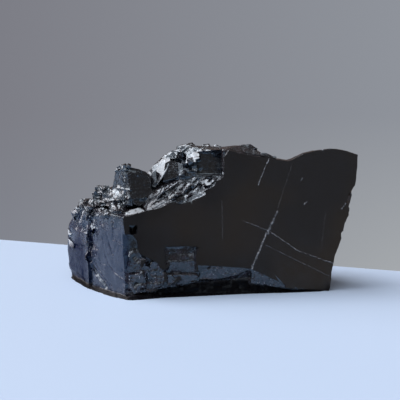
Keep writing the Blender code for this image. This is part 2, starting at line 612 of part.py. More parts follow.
def main():
    clear_scene()
    parts = collection("Shungite")
    blocks = collection("Blocks")
    cutters = collection("Cutters")
    rubble = collection("Rubble")
    stone = slab("shungite_stone", FACE_EDGE, -FACE_OVERSHOOT, SLAB_BACK, parts)
    stone.hide_render = False
    stone.display_type = "TEXTURED"
    chisel(stone, [hull(name, corners, blocks) for name, corners in BLOCKS.items()], "UNION")
    for name, zone in RUBBLE.items():
        chisel(stone, shards(stone, name, zone, rubble), zone["operation"])
    flats = {name: half_space(name, *plane, cutters) for name, plane in BREAKS.items()}
    chisel(stone, flats.values(), "DIFFERENCE")
    chisel(stone, [scar(name, *ball, cutters) for name, ball in SCARS.items()], "DIFFERENCE")
    chisel(stone, [hull(name, corners, cutters) for name, corners in HOLLOWS.items()], "DIFFERENCE")
    facets = [facet(name, one["corners"], one["inward"], blocks) for name, one in FACETS.items()]
    chisel(stone, facets, "UNION")
    for name, zone in CORNER_RUBBLE.items():
        chisel(stone, shards(stone, name, zone, rubble), zone["operation"])
    chisel(stone, [flats["parting_face"], flats["resting_flat"]], "DIFFERENCE")
    chisel(stone, [hull(name, corners, blocks) for name, corners in TOES.items()], "UNION")
    outer_skin(stone)
    rest_on_centre(stone)
    stone.data.materials.clear()
    stone.data.materials.append(shungite())


main()
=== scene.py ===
# Raw piece of noble shungite: the broken surface in full detail, its finish, and a small studio around it.
# The stone's own sizes are in millimetres, on axes that suit it: x along the flat parting face, y into the
# stone from the face's foot, z up from the table.

import math
from itertools import product

import bmesh
import bpy
import numpy as np
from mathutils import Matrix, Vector


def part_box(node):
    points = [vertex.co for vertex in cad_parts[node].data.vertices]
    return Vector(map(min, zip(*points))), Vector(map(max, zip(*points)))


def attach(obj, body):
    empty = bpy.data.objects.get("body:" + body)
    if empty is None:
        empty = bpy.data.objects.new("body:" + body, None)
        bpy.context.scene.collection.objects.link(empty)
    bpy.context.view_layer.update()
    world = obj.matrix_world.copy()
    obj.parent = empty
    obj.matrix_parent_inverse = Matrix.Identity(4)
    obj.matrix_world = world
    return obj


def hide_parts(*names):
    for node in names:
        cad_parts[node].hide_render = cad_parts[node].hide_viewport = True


mm = 0.001
faceRightEnd = 43.1  # x of the parting face's right end
footFront = -1.3  # y of the toe that reaches furthest forward
faceLean = 8.0  # degrees that the parting face leans back
flatWithin = 0.02  # how near a point of the parting face or the foot is to its plane

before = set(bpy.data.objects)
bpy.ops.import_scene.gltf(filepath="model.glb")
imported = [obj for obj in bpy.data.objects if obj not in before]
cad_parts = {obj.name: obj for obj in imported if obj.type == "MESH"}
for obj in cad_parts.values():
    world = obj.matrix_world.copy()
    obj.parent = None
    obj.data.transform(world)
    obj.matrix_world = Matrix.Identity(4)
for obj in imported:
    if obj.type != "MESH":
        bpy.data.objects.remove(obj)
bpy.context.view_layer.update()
lowCorner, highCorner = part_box("shungite_stone")
origin = np.array([faceRightEnd - highCorner.x / mm, footFront - lowCorner.y / mm, 0.0])


def toStone(points):  # from the frame's metres to the stone's millimetres
    return np.asarray(points, float) / mm + origin


def toFrame(points):
    return (np.asarray(points, float) - origin) * mm


def unit(vector):
    vector = np.asarray(vector, float)
    return vector / np.maximum(np.linalg.norm(vector, axis=-1, keepdims=True), 1e-9)


camera = dict(
    aim=(-3.6, 0.0, 27.2),
    azimuth=-10.0,
    elevation=9.0,
    distance=305.56,
    lens=100.0,
    sensor=36.0,
    clip=(0.01, 20.0),  # in metres
)


def makeCamera(settings):
    azimuth, elevation = math.radians(settings["azimuth"]), math.radians(settings["elevation"])
    back = Vector((
        math.sin(azimuth) * math.cos(elevation),
        -math.cos(azimuth) * math.cos(elevation),
        math.sin(elevation),
    ))
    data = bpy.data.cameras.new("camera")
    data.lens = settings["lens"]
    data.sensor_width = settings["sensor"]
    data.clip_start, data.clip_end = settings["clip"]
    made = bpy.data.objects.new("camera", data)
    made.location = Vector(toFrame(settings["aim"])) + back * settings["distance"] * mm
    made.rotation_euler = (-back).to_track_quat("-Z", "Y").to_euler()
    bpy.context.collection.objects.link(made)
    bpy.context.scene.camera = made


makeCamera(camera)
print("camera in place")


def randoms(cells, seed, count):  # count numbers from 0 to 1 for each whole-numbered cell
    hashed = (
        cells[:, 0].astype(np.int64) * 73856093
        ^ cells[:, 1].astype(np.int64) * 19349663
        ^ cells[:, 2].astype(np.int64) * 83492791
        ^ (seed + 1) * 2654435761
    ) & 0xFFFFFFFF
    found = []
    for _ in range(count):
        hashed = (hashed ^ (hashed >> 16)) * 0x45D9F3B & 0xFFFFFFFF
        hashed = (hashed ^ (hashed >> 15)) * 0x2C1B3C6D & 0xFFFFFFFF
        hashed = hashed ^ (hashed >> 14)
        found.append(hashed / 0xFFFFFFFF)
    return np.stack(found, axis=1)


def scars(points, layer):  # shell-shaped bites with sharp ridges between them, in cell heights
    local = points / layer["cell"]
    if "grain" in layer:  # draws the bites out along it
        along = unit(layer["grain"])
        local = local - np.outer(local @ along, along) * (1 - 1 / layer["stretch"])
    home = np.floor(local).astype(np.int64)
    low = np.full(len(points), np.inf)
    for offset in product((-1, 0, 1), repeat=3):
        cells = home + offset
        dice = randoms(cells, layer["seed"], 7)
        away = local - (cells + 0.1 + 0.8 * dice[:, :3])
        lean = dice[:, 3:6] * 2 - 1
        height = layer["drop"] * dice[:, 6] + layer["tilt"] * (away * lean).sum(1)
        low = np.minimum(low, height + layer["curl"] * (away**2).sum(1))
    return low


def pathDistance(points, path):
    path = np.asarray(path, float)
    best = np.full(len(points), np.inf)
    for a, b in zip(path[:-1], path[1:]):
        length = np.linalg.norm(b - a)
        along = np.clip((points - a) @ (b - a) / max(length**2, 1e-9), 0, 1)
        best = np.minimum(best, np.linalg.norm(points - a - along[:, None] * (b - a), axis=1))
    return best


def smoothstep(low, high, value):
    share = np.clip((value - low) / (high - low), 0, 1)
    return share * share * (3 - 2 * share)


stone = dict(
    flatSpacing=3.0,  # mesh size on the flat faces
    roughSpacing=0.42,  # mesh size on the broken ones
    backSpacing=0.75,  # and on those at the back
    backStarts=24.0,
    backTop=24.0,
    slack=1.4,  # an edge is halved once it is this many times as long as its spacing
    rounds=9,  # most times that an edge is halved
    directionBlur=24,  # rounds that smooth the direction in which the surface is moved
    deepest=1.6,  # how far the breakage moves the surface in, and out
    highest=0.5,
    toe=dict(ahead=0.03, front=1.4, top=1.0, share=0.3),  # the toes' place, and their share of that; the toes are low flanges at the foot where the contact shadow falls, painted near-black with the shade under the lip
    chipSink=0.25,  # how far a chip's plane lies under its middle, as a share of its reach
    chipSlant=0.3,  # least slant that a chip is cut at
    triangles=190000,
    creaseAngle=26,
)

# Layers of scars: whose height in the breakage table each follows and its share of it, the size of a scar,
# how far it tilts, curls and drops, and the grain that the streaks are drawn out along.
scarLayers = dict(
    coarse=dict(follows="coarse", share=1.0, cell=3.8, tilt=1.5, curl=0.25, drop=0.5, seed=3),
    medium=dict(follows="fine", share=1.0, cell=1.9, tilt=1.5, curl=0.25, drop=0.5, seed=8),
    fine=dict(follows="fine", share=0.5, cell=1.2, tilt=1.5, curl=0.3, drop=0.5, seed=5),
    streaks=dict(
        follows="streak", share=1.0, cell=1.3, tilt=1.3, curl=0.3, drop=0.5, seed=6,
        grain=(15, 7, 8.5), stretch=6,
    ),
)

# How the breakage differs from place to place: where, how far it reaches, the heights of the coarse scars,
# the fine scars and the streaks there in millimetres, how dull it is, how strong its small facets are, and
# its shares of mottled rock and of painted glints, bright spots that stand for facets catching the light.
# What isn't given is 0.
breakage = dict(
    crumble=dict(
        at=(-31, 20, 23), reach=7, coarse=0.45, fine=0.12,
        dullAndShade=0.1, glitter=1.0, mottle=0.2, paintedGlints=0.5,
    ),
    crumbleFront=dict(
        at=(-25, 8, 23), reach=4, coarse=0.4, fine=0.12,
        dullAndShade=0.1, glitter=1.0, mottle=0.2, paintedGlints=0.7,
    ),
    leaf=dict(at=(-21, 5, 23.8), reach=2.5, coarse=0.05, fine=0.04, dullAndShade=0.45, glitter=0.1),
    endFacet=dict(at=(-27, 7, 11), reach=8, coarse=0.1, fine=0.02, dullAndShade=0.45, glitter=0.1),
    farFacet=dict(at=(-36.5, 26, 7), reach=6, coarse=0.1, fine=0.03, dullAndShade=1.0, glitter=0.15),
    farChips=dict(at=(-37.8, 31, 12.3), reach=3, glitter=0.1),
    groove=dict(
        at=(-33, 17, 11), reach=3, coarse=0.2, fine=0.1,
        dullAndShade=0.6, glitter=0.8, mottle=0.3, paintedGlints=0.8,
    ),
    fang=dict(at=(-19, 9, 31), reach=4, coarse=0.1, fine=0.04, dullAndShade=0.2, glitter=0.06),
    flank=dict(at=(-25, 12, 29), reach=3, coarse=0.12, fine=0.08, glitter=0.5, mottle=0.1, paintedGlints=0.4),
    tip=dict(at=(-24, 11, 35), reach=2, coarse=0.3, fine=0.2, glitter=1.0, mottle=0.2, paintedGlints=0.5),
    slope=dict(
        at=(-8, 7, 28), reach=7, coarse=0.12, fine=0.06, streak=0.45,
        dullAndShade=0.12, glitter=0.35, mottle=0.2, paintedGlints=0.2,
    ),
    slopeRight=dict(
        at=(-1, 6, 29.5), reach=3.5, coarse=0.2, fine=0.1, streak=0.35,
        dullAndShade=0.3, glitter=0.6, mottle=0.2, paintedGlints=0.4,
    ),
    blade=dict(at=(-12.2, 12, 34.5), reach=2.5, coarse=0.05, fine=0.02, glitter=0.05),
    darkWall=dict(at=(-9.7, 11, 34), reach=2.5, coarse=0.1, fine=0.06, glitter=0.4),
    shards=dict(at=(-4, 11, 37), reach=3, coarse=0.08, fine=0.05, glitter=0.2),
    hollow=dict(at=(0.5, 9.8, 36), reach=4, coarse=0.15, fine=0.05, glitter=0.12),
    ridge=dict(at=(-6, 18, 39), reach=5, coarse=0.5, fine=0.18, glitter=0.9, mottle=0.1, paintedGlints=0.3),
    ridgeRight=dict(
        at=(8, 12, 38), reach=6, coarse=0.2, fine=0.08,
        dullAndShade=0.2, glitter=0.3, mottle=0.5, paintedGlints=0.3,
    ),
    corner=dict(
        at=(-19, 1, 6), reach=6, coarse=0.5, fine=0.18,
        dullAndShade=0.25, glitter=0.4, mottle=1.0, paintedGlints=1.0,
    ),
    slopeLeft=dict(
        at=(-15, 6, 26), reach=3, coarse=0.1, fine=0.05, streak=0.3,
        dullAndShade=0.5, glitter=0.3, mottle=0.3, paintedGlints=0.2,
    ),
    bladeLeft=dict(at=(-14.8, 11, 32.8), reach=2, dullAndShade=0.4, glitter=0.1),
    notch=dict(
        at=(-8.7, 3, 9), reach=5, coarse=0.06, fine=0.06,
        dullAndShade=0.3, glitter=0.25, mottle=0.7, paintedGlints=0.2,
    ),
    strip=dict(
        at=(3, 2, 6), reach=5, coarse=0.14, fine=0.1,
        dullAndShade=0.2, glitter=0.4, mottle=0.9, paintedGlints=0.5,
    ),
    chamfer=dict(
        at=(14, 1.2, 4.5), reach=3.5, coarse=0.14, fine=0.1,
        dullAndShade=0.15, glitter=0.4, mottle=0.9, paintedGlints=0.6,
    ),
    brightShard=dict(at=(-0.6, 5.4, 31.2), reach=2.6),
    back=dict(at=(5, 34, 18), reach=24, coarse=0.5, fine=0.1, glitter=0.3, mottle=0.3, paintedGlints=0.05),
    right=dict(at=(40, 16, 18), reach=14, coarse=0.4, fine=0.1, glitter=0.3, mottle=0.3, paintedGlints=0.05),
)


# Small flat chips that face the window: each one's middle, how wide it is and its outward side.
windowward = (-0.64, -0.50, 0.58)
chips = dict(
    cornerTop=dict(at=(-22.3, 2.0, 12.9), reach=0.8, towards=windowward),
    cornerMiddle=dict(at=(-21.4, 1.9, 11.2), reach=0.8, towards=windowward),
    cornerSmall=dict(at=(-20.4, 1.4, 10.3), reach=0.7, towards=windowward),
    cornerFoot=dict(at=(-21.3, 1.0, 3.6), reach=0.8, towards=windowward),
    lumpTop=dict(at=(-17.2, 1.4, 9.4), reach=0.8, towards=windowward),
    notchRim=dict(at=(-4.1, 1.9, 12.4), reach=1.2, towards=windowward),
    stripEnd=dict(at=(-3.0, 0.9, 5.4), reach=0.7, towards=windowward),
    stripTop=dict(at=(-0.4, 1.0, 7.4), reach=0.8, towards=windowward),
)

# The lip that hides the underside, where the rock under it is painted near-black as shade: its height as x
# and z, how far back the painted shade under it goes, the x left of which it goes all the way, and the
# share of the height at which it starts to fade.
lip = dict(
    line=[
        (-39.0, 0.7), (-24.0, 0.8), (-19.5, 1.4), (-12.5, 2.6), (-3.2, 4.5),
        (5.2, 4.9), (10.6, 5.2), (11.0, 3.2), (23.0, 0.9), (34.0, 0.5),
    ],
    back=9.0,
    allLeftOf=-28.0,
    fadesAt=0.6,
)

# Creases in the end facets and at the corner: a path, and the groove's half width and depth.
creases = dict(
    longRib=dict(
        path=[
            (-29.7, 11.7, 15.8), (-29.5, 11.3, 13.3), (-29.0, 10.5, 10.5), (-28.2, 9.0, 8.2),
            (-27.0, 6.9, 6.5), (-25.5, 4.3, 5.6), (-23.6, 1.0, 5.0),
        ],
        width=0.5, depth=0.18,
    ),
    innerRib=dict(path=[(-28.7, 9.9, 16.7), (-28.0, 8.7, 13.7), (-27.3, 7.5, 11.4)], width=0.5, depth=0.22),
    shortRib=dict(path=[(-26.1, 5.4, 15.4), (-26.6, 6.2, 13.3), (-27.1, 7.1, 11.4)], width=0.5, depth=0.25),
    rightRib=dict(path=[(-25.1, 3.7, 18.3), (-25.5, 4.3, 14.8), (-26.1, 5.4, 11.2)], width=0.4, depth=0.12),
    crack=dict(path=[(-32.3, 16.2, 6.2), (-30.8, 13.6, 3.8), (-28.9, 10.2, 1.3)], width=0.7, depth=0.9),
    sideCrack=dict(path=[(-31.5, 14.9, 7.7), (-29.8, 11.9, 4.7), (-27.6, 8.1, 2.0)], width=0.5, depth=0.15),
    farRib=dict(path=[(-37.6, 31.8, 8.9), (-36.1, 27.2, 10.4), (-34.6, 22.9, 10.0)], width=0.7, depth=0.35),
    farFoot=dict(path=[(-37.7, 32.1, 1.1), (-35.7, 26.1, 1.5), (-34.3, 21.8, 0.6)], width=0.9, depth=0.5),
    leftGap=dict(path=[(-19.4, 1.2, 10.1), (-18.5, 1.2, 7.8), (-17.5, 1.2, 4.1)], width=0.6, depth=0.6),
    rightGap=dict(path=[(-13.8, 1.2, 9.3), (-13.3, 1.2, 6.2), (-12.7, 1.2, 3.6)], width=0.6, depth=0.6),
    cornerLine=dict(path=[(-23.5, 1.2, 7.7), (-21.3, 1.2, 7.8), (-19.4, 1.2, 8.1)], width=0.5, depth=0.35),
)


# The painted blue reflection on the end facets, laid into their colour: its middle and half width along x,
# its top, its back and its soft edge.
paintedBlueReflection = dict(middle=-31.0, halfWidth=7.0, top=18.0, back=32.0, edge=2.0)


# the share of the painted blue reflection at each point
def paintedBlueReflectionShare(points):
    away = np.maximum(np.abs(points[:, 0] - paintedBlueReflection["middle"]) - paintedBlueReflection["halfWidth"], 0)
    away += np.maximum(points[:, 2] - paintedBlueReflection["top"], 0) / 3
    away += np.maximum(points[:, 1] - paintedBlueReflection["back"], 0) / 2
    return 1 - smoothstep(0, paintedBlueReflection["edge"], away)


def underLipShade(points):  # 1 on the rock under the lip, which is painted near-black as shade, 0 elsewhere
    height = np.interp(points[:, 0], *np.transpose(lip["line"]))
    inside = (points[:, 1] < lip["back"]) | (points[:, 0] < lip["allLeftOf"])
    return np.where(inside, 1 - smoothstep(lip["fadesAt"] * height, height, points[:, 2]), 0.0)


def zoneValue(points, name):  # a value of the breakage table, blended between its places
    total = np.zeros(len(points))
    weight = np.full(len(points), 1e-12)
    for zone in breakage.values():
        away = np.linalg.norm(points - np.array(zone["at"]), axis=1) / zone["reach"]
        near = 1 / (0.05 + away**2) ** 3
        total += near * zone.get(name, 0.0)
        weight += near
    return total / weight


def faceDepth(points):  # distance into the stone from the parting face's plane
    lean = math.radians(faceLean)
    return points[..., 1] * math.cos(lean) - points[..., 2] * math.sin(lean)


def wantedSpacing(middles, flat):
    spacing = np.full(len(middles), stone["roughSpacing"])
    back = (middles[:, 1] > stone["backStarts"]) & (middles[:, 2] < stone["backTop"])
    spacing[back] = stone["backSpacing"]
    spacing[flat] = stone["flatSpacing"]
    return spacing


def meshPoints(mesh):
    found = np.empty(len(mesh.vertices) * 3)
    mesh.vertices.foreach_get("co", found)
    return found.reshape(-1, 3)


def refine(shape):  # halves long edges until each is as short as its place asks for
    for _ in range(stone["rounds"]):
        shape.verts.index_update()
        shape.edges.ensure_lookup_table()
        corners = toStone([corner.co[:] for corner in shape.verts])
        level = (np.minimum(np.abs(faceDepth(corners)), np.abs(corners[:, 2])) < flatWithin).tolist()
        ends = np.array([(edge.verts[0].index, edge.verts[1].index) for edge in shape.edges])
        a, b = corners[ends[:, 0]], corners[ends[:, 1]]
        inside = np.array([
            all(level[corner.index] for face in edge.link_faces for corner in face.verts)
            for edge in shape.edges
        ])
        longest = stone["slack"] * wantedSpacing((a + b) / 2, inside)
        chosen = [shape.edges[number] for number in np.flatnonzero(np.linalg.norm(a - b, axis=1) > longest)]
        if not chosen:
            return
        bmesh.ops.subdivide_edges(shape, edges=chosen, cuts=1)
        many = [face for face in shape.faces if len(face.verts) > 3]
        bmesh.ops.triangulate(shape, faces=many, quad_method="SHORT_EDGE")


def smoothNormals(mesh, rounds):
    ends = np.empty(len(mesh.edges) * 2, np.int32)
    mesh.edges.foreach_get("vertices", ends)
    a, b = ends.reshape(-1, 2).T
    normals = np.array([v.normal[:] for v in mesh.vertices])
    for _ in range(rounds):
        spread = normals.copy()
        for axis in range(3):
            spread[:, axis] += np.bincount(a, normals[b, axis], len(normals))
            spread[:, axis] += np.bincount(b, normals[a, axis], len(normals))
        normals = unit(spread)
    return normals


def breakSurface(mesh):  # moves the fine mesh by the scar patterns, and keeps the flat faces flat
    points = toStone(meshPoints(mesh))
    outward = smoothNormals(mesh, stone["directionBlur"])
    height = np.zeros(len(points))
    for layer in scarLayers.values():
        pattern = scars(points, layer)
        height += layer["share"] * zoneValue(points, layer["follows"]) * (pattern - np.median(pattern))
    for crease in creases.values():
        away = pathDistance(points, crease["path"])
        height -= crease["depth"] * (1 - smoothstep(0, crease["width"], away))
    for chip in chips.values():
        towards, away = unit(chip["towards"]), points - np.array(chip["at"])
        above = away @ towards + stone["chipSink"] * chip["reach"]
        near = np.linalg.norm(away, axis=1) < chip["reach"]
        slant = np.maximum(outward @ towards, stone["chipSlant"])
        height = np.where(near & (above > 0), -above / slant, height)
    move = outward * np.clip(height, -stone["deepest"], stone["highest"])[:, None]
    place = stone["toe"]
    toe = (points[:, 2] < place["top"]) & (points[:, 1] < place["front"])
    toe |= faceDepth(points) < -place["ahead"]
    move[toe] *= place["share"]
    flat = faceDepth(points) < flatWithin
    lean = math.radians(faceLean)
    faceNormal = np.array([0, -math.cos(lean), math.sin(lean)])
    move[flat] -= np.outer(move[flat] @ faceNormal, faceNormal)
    foot = points[:, 2] < flatWithin
    move[foot, 2] = 0
    points = points + move
    points[:, 2] = np.maximum(points[:, 2], 0)
    points -= np.outer(np.where(toe, 0, np.maximum(-faceDepth(points), 0)), faceNormal)
    mesh.vertices.foreach_set("co", toFrame(points).astype(np.float32).ravel())
    mesh.update()


def thin(made, triangles):  # drops the points that the flats don't need
    fewer = made.modifiers.new("thin", "DECIMATE")
    fewer.ratio = min(1.0, triangles / len(made.data.polygons))
    bpy.context.view_layer.update()
    graph = bpy.context.evaluated_depsgraph_get()
    full = made.data
    made.data = bpy.data.meshes.new_from_object(made.evaluated_get(graph))
    made.modifiers.clear()
    bpy.data.meshes.remove(full)
    made.data.name = made.name


def shade(mesh):  # smooth scars, crisp ridges, and a hard edge all round the parting face
    mesh.shade_smooth()
    mesh.set_sharp_from_angle(angle=math.radians(stone["creaseAngle"]))
    shape = bmesh.new()
    shape.from_mesh(mesh)
    flat = {face for face in shape.faces if all(isFlat(corner) for corner in face.verts)}
    for edge in shape.edges:
        if sum(face in flat for face in edge.link_faces) == 1:
            edge.smooth = False
    shape.to_mesh(mesh)
    shape.free()


def keepValue(mesh, name, values):  # a number for each of the mesh's points, which the finish reads
    kept = mesh.attributes.new(name, "FLOAT", "POINT")
    kept.data.foreach_set("value", values.astype(np.float32))


def isFlat(corner):  # whether a point is on the parting face or the foot
    place = toStone(corner.co[:])
    return abs(faceDepth(place)) < flatWithin or place[2] < flatWithin


def makeStone():
    shape = bmesh.new()
    shape.from_mesh(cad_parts["shungite_stone"].data)
    bmesh.ops.remove_doubles(shape, verts=shape.verts, dist=1e-7)
    refine(shape)
    mesh = bpy.data.meshes.new("stone")
    shape.to_mesh(mesh)
    shape.free()
    print("fine mesh:", len(mesh.polygons), "triangles")
    breakSurface(mesh)
    made = bpy.data.objects.new("stone", mesh)
    bpy.context.collection.objects.link(made)
    thin(made, stone["triangles"])
    shade(made.data)
    points = toStone(meshPoints(made.data))
    # the rock under the lip gets painted shade: near-black and dull, with no mottle, painted glints or
    # painted blue reflection
    under = underLipShade(points)
    keepValue(made.data, "glitter", zoneValue(points, "glitter"))
    keepValue(made.data, "dullAndShade", np.maximum(zoneValue(points, "dullAndShade"), under))
    keepValue(made.data, "mottle", zoneValue(points, "mottle") * (1 - under))
    keepValue(made.data, "paintedGlints", zoneValue(points, "paintedGlints") * (1 - under))
    keepValue(made.data, "paintedBlueReflection", paintedBlueReflectionShare(points) * (1 - under))
    print("stone:", len(made.data.polygons), "triangles")
    return made


finish = dict(
    black=(0.010, 0.010, 0.012),
    brown=(0.017, 0.013, 0.010),
    # near-black for the duller rock, and the painted shade under the lip
    dullAndShadeColour=(0.002, 0.002, 0.003),
    # a painted blue reflection for the end facets
    paintedBlueReflectionColour=(0.000, 0.004, 0.026),
    brokenFrom=0.10,  # depth behind the parting face at which the broken finish is full
    brownSpread=0.045,  # how many patches of brown a millimetre holds
    faceRoughness=0.11,
    brokenRoughness=0.16,
    dullRoughness=0.28,
    shine=0.5,
    dullShine=0.04,
    ior=1.95,
    sheenColour=(0.63, 0.84, 1.0),
    rippleScale=0.9,
    rippleHeight=0.05,
    chipScale=0.75,
    chipTilt=0.9,
    fineScale=1.9,
    fineTilt=0.4,
    veinColour=(0.34, 0.34, 0.345),
    veinRoughness=0.5,
    veinHeight=0.05,
    # ridges lighter with dust and with a painted highlight
    dustAndHighlightColour=(0.05, 0.053, 0.06),
    mottleColour=(0.046, 0.038, 0.050),
    # painted glints: sparse bright spots that stand for small facets catching the light
    paintedGlintColour=(0.30, 0.31, 0.34),
    paintedGlintScale=2.2,
)

# Lines and specks of pale mineral in the parting face: points as x and z, width and strength.
veins = dict(
    mainTop=dict(ends=[(23.7, 36.0), (18.4, 21.4)], width=0.16, strength=0.10),
    mainMiddle=dict(ends=[(19.0, 22.8), (16.3, 17.2)], width=0.42, strength=0.42),
    mainLow=dict(ends=[(16.4, 18.0), (11.2, 6.8)], width=0.32, strength=0.85),
    mainFoot=dict(ends=[(11.2, 6.8), (11.6, 3.6)], width=0.36, strength=0.55),
    thin=dict(ends=[(17.0, 37.5), (13.7, 30.4)], width=0.20, strength=0.8),
    hairLeft=dict(ends=[(9.2, 20.5), (16.6, 17.5)], width=0.16, strength=0.22),
    hairMiddle=dict(ends=[(16.6, 17.5), (24.8, 11.7)], width=0.16, strength=0.42),
    hairRight=dict(ends=[(24.8, 11.7), (35.0, 7.8)], width=0.16, strength=0.34),
    hairUnder=dict(ends=[(15.6, 13.5), (33.9, 4.2)], width=0.14, strength=0.16),
    upright=dict(ends=[(33.4, 22.8), (31.4, 11.4)], width=0.40, strength=0.05),
    dotted=dict(ends=[(3.3, 26.4), (3.2, 15.6)], width=0.20, strength=0.12),
    crossing=dict(ends=[(16.3, 16.9), (16.3, 16.8)], width=0.5, strength=0.35),
    upperSpeck=dict(ends=[(26.5, 31.9), (26.2, 31.4)], width=0.22, strength=0.65),
    middleSpeck=dict(ends=[(27.7, 25.3), (27.1, 24.6)], width=0.22, strength=0.65),
    rightSpeck=dict(ends=[(39.2, 24.5), (37.9, 23.0)], width=0.28, strength=0.35),
    footSpeck=dict(ends=[(11.9, 5.0), (12.0, 4.9)], width=0.3, strength=0.9),
)


def newGroup(name, inputs, outputs):
    group = bpy.data.node_groups.new(name, "ShaderNodeTree")
    for sockets, way in ((inputs, "INPUT"), (outputs, "OUTPUT")):
        for name, kind in sockets.items():
            group.interface.new_socket(name=name, in_out=way, socket_type="NodeSocket" + kind)
    return group, group.nodes.new("NodeGroupInput"), group.nodes.new("NodeGroupOutput")


def add(tree, kind, links=None, values=None, **settings):  # a node, its settings, and what feeds its inputs
    node = tree.nodes.new(kind)
    for name, value in settings.items():
        setattr(node, name, value)
    for name, value in (values or {}).items():
        node.inputs[name].default_value = value
    for name, source in (links or {}).items():
        tree.links.new(source, node.inputs[name])
    return node


def mapped(tree, value, start, full, low=0.0, high=1.0):
    ranged = add(tree, "ShaderNodeMapRange", links={"Value": value},
                 values={"From Min": start, "From Max": full, "To Min": low, "To Max": high})
    return ranged.outputs["Result"]


def noise(tree, place, scale, detail, roughness=0.5):
    return add(tree, "ShaderNodeTexNoise", links={"Vector": place},
               values={"Scale": scale, "Detail": detail, "Roughness": roughness})


def pointValue(tree, name):  # one of the numbers kept with the stone's points
    return add(tree, "ShaderNodeAttribute", attribute_name=name).outputs["Fac"]


def mixed(tree, share, under, over):  # one colour laid over another, each of them given or linked
    mix = add(tree, "ShaderNodeMix", data_type="RGBA", links={"Factor": share})
    for name, colour in (("A", under), ("B", over)):
        if isinstance(colour, bpy.types.NodeSocket):
            tree.links.new(colour, mix.inputs[name])
        else:
            mix.inputs[name].default_value = (*colour, 1)
    return mix.outputs["Result"]


def maths(tree, operation, a, b=0.0, clamp=False):
    node = tree.nodes.new("ShaderNodeMath")
    node.operation = operation
    node.use_clamp = clamp
    for socket, value in zip(node.inputs, (a, b)):
        if isinstance(value, (int, float)):
            socket.default_value = value
        else:
            tree.links.new(value, socket)
    return node.outputs[0]


def vectorMaths(tree, operation, a, b=None, scale=None):
    node = tree.nodes.new("ShaderNodeVectorMath")
    node.operation = operation
    for socket, value in zip(node.inputs, (a, b)):
        if value is None:
            continue
        if isinstance(value, bpy.types.NodeSocket):
            tree.links.new(value, socket)
        else:
            socket.default_value = value
    if scale is not None:
        tree.links.new(scale, node.inputs["Scale"])
    return node.outputs["Value"] if operation in ("DOT_PRODUCT", "LENGTH") else node.outputs["Vector"]


def lineGroup():  # a straight line between two points, with a soft edge, laid over what came before
    group, given, out = newGroup(
        "mineralLine",
        dict(Place="Vector", Start="Vector", End="Vector", Width="Float", Strength="Float", Before="Float"),
        dict(Mask="Float"),
    )
    away = vectorMaths(group, "SUBTRACT", given.outputs["Place"], given.outputs["Start"])
    line = vectorMaths(group, "SUBTRACT", given.outputs["End"], given.outputs["Start"])
    square = maths(group, "MAXIMUM", vectorMaths(group, "DOT_PRODUCT", line, line), 1e-6)
    share = maths(group, "DIVIDE", vectorMaths(group, "DOT_PRODUCT", away, line), square, clamp=True)
    foot = vectorMaths(group, "SCALE", line, scale=share)
    distance = vectorMaths(group, "LENGTH", vectorMaths(group, "SUBTRACT", away, foot))
    edge = add(
        group, "ShaderNodeMapRange", interpolation_type="SMOOTHSTEP",
        links={"Value": distance, "From Max": given.outputs["Width"], "To Min": given.outputs["Strength"]},
        values={"From Min": 0.0, "To Max": 0.0},
    )
    total = maths(group, "MAXIMUM", edge.outputs["Result"], given.outputs["Before"])
    group.links.new(total, out.inputs["Mask"])
    return group


def grainGroup():  # small flat facets of two sizes over gentle shell-like ripples, as a height
    group, given, out = newGroup(
        "brokenGrain",
        {"Place": "Vector", "Ripple Scale": "Float", "Ripple Height": "Float", "Chip Scale": "Float",
         "Fine Scale": "Float", "Chip Tilt": "Float", "Fine Tilt": "Float", "Amount": "Float"},
        dict(Height="Float"),
    )
    ripple = add(
        group, "ShaderNodeTexNoise", values={"Detail": 4.0, "Roughness": 0.6, "Distortion": 0.6},
        links={"Vector": given.outputs["Place"], "Scale": given.outputs["Ripple Scale"]},
    )
    total = maths(group, "MULTIPLY", ripple.outputs["Fac"], given.outputs["Ripple Height"])
    facets = None
    for scale, tilt in (("Chip Scale", "Chip Tilt"), ("Fine Scale", "Fine Tilt")):
        cells = add(
            group, "ShaderNodeTexVoronoi", feature="F1",
            links={"Vector": given.outputs["Place"], "Scale": given.outputs[scale]},
        )
        away = vectorMaths(group, "SUBTRACT", given.outputs["Place"], cells.outputs["Position"])
        lean = vectorMaths(group, "SUBTRACT", cells.outputs["Color"], (0.5, 0.5, 0.5))
        plane = maths(group, "MULTIPLY", vectorMaths(group, "DOT_PRODUCT", away, lean), given.outputs[tilt])
        facets = plane if facets is None else maths(group, "ADD", facets, plane)
    facets = maths(group, "MULTIPLY", facets, given.outputs["Amount"])
    group.links.new(maths(group, "ADD", total, facets), out.inputs["Height"])
    return group


def paintedGlintGroup():  # painted glints: sparse bright spots at the middles of some of the cells
    group, given, out = newGroup(
        "paintedGlints", dict(Place="Vector", Scale="Float", Size="Float", Share="Float"), dict(Mask="Float"),
    )
    cells = add(group, "ShaderNodeTexVoronoi", feature="F1",
                links={"Vector": given.outputs["Place"], "Scale": given.outputs["Scale"]})
    kept = add(group, "ShaderNodeSeparateXYZ", links={0: cells.outputs["Color"]})
    chosen = maths(group, "LESS_THAN", kept.outputs["X"], given.outputs["Share"])
    near = maths(group, "LESS_THAN", cells.outputs["Distance"], given.outputs["Size"])
    group.links.new(maths(group, "MULTIPLY", chosen, near), out.inputs["Mask"])
    return group


